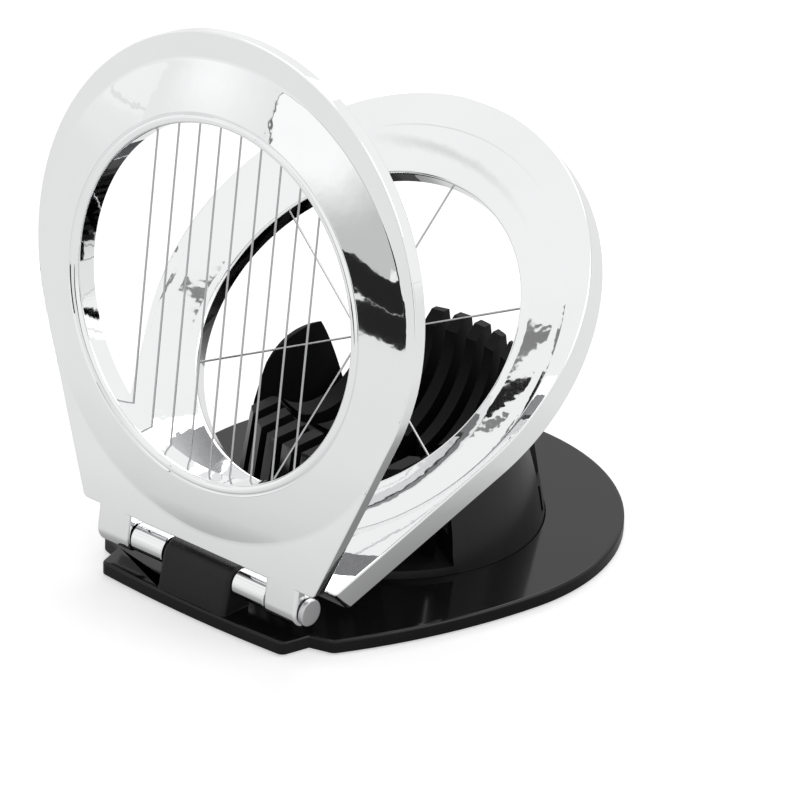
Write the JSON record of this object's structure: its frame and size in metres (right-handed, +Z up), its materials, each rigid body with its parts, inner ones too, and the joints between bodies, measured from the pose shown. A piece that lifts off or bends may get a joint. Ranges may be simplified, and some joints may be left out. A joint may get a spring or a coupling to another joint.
{
  "type": "egg slicer",
  "caption": "Egg slicer with a slotted egg cup on a flat base and two hinged rings strung with wires, one ring for slices and one for wedges.",
  "frame": {"origin": "point under the middle of the hinge pin, on the table", "axes": "+X along the hinge pin to the right, +Y from the hinge to the back of the base, +Z up"},
  "size_m": [0.0956, 0.1042, 0.1152],
  "materials": {
    "black_plastic": "gloss",
    "pad_rubber": "matte",
    "screw_steel": "satin",
    "pin_steel": "satin",
    "chrome": "polished",
    "ring_steel": "satin",
    "sleeve_steel": "satin",
    "wire_steel": "polished"
  },
  "bodies": {
    "base": {"base_plate": "black_plastic", "foot_pads": "pad_rubber", "egg_cup": "black_plastic", "cup_screws": "screw_steel", "hinge_pin": "pin_steel"},
    "wedge": {"wedge_frame": "chrome", "wedge_back_ring": "ring_steel", "wedge_sleeves": "sleeve_steel", "wedge_wire_1": "wire_steel", "wedge_wire_2": "wire_steel", "wedge_wire_3": "wire_steel"},
    "slicer": {"slicing_frame": "chrome", "slicing_back_ring": "ring_steel", "slicing_sleeves": "sleeve_steel", "slicing_wire_1": "wire_steel", "slicing_wire_2": "wire_steel", "slicing_wire_3": "wire_steel", "slicing_wire_4": "wire_steel", "slicing_wire_5": "wire_steel", "slicing_wire_6": "wire_steel", "slicing_wire_7": "wire_steel", "slicing_wire_8": "wire_steel", "slicing_wire_9": "wire_steel"}
  },
  "joints": [
    {"name": "wedge_hinge", "type": "hinge", "parent": "base", "child": "wedge", "pos_m": [0, 0, 0.0092], "axis": [1, 0, 0], "range_deg": [-42.5, 47.5]},
    {"name": "slicing_hinge", "type": "hinge", "parent": "wedge", "child": "slicer", "pos_m": [0, 0, 0.0092], "axis": [1, 0, 0], "range_deg": [-41.5, 43.5]}
  ]
}
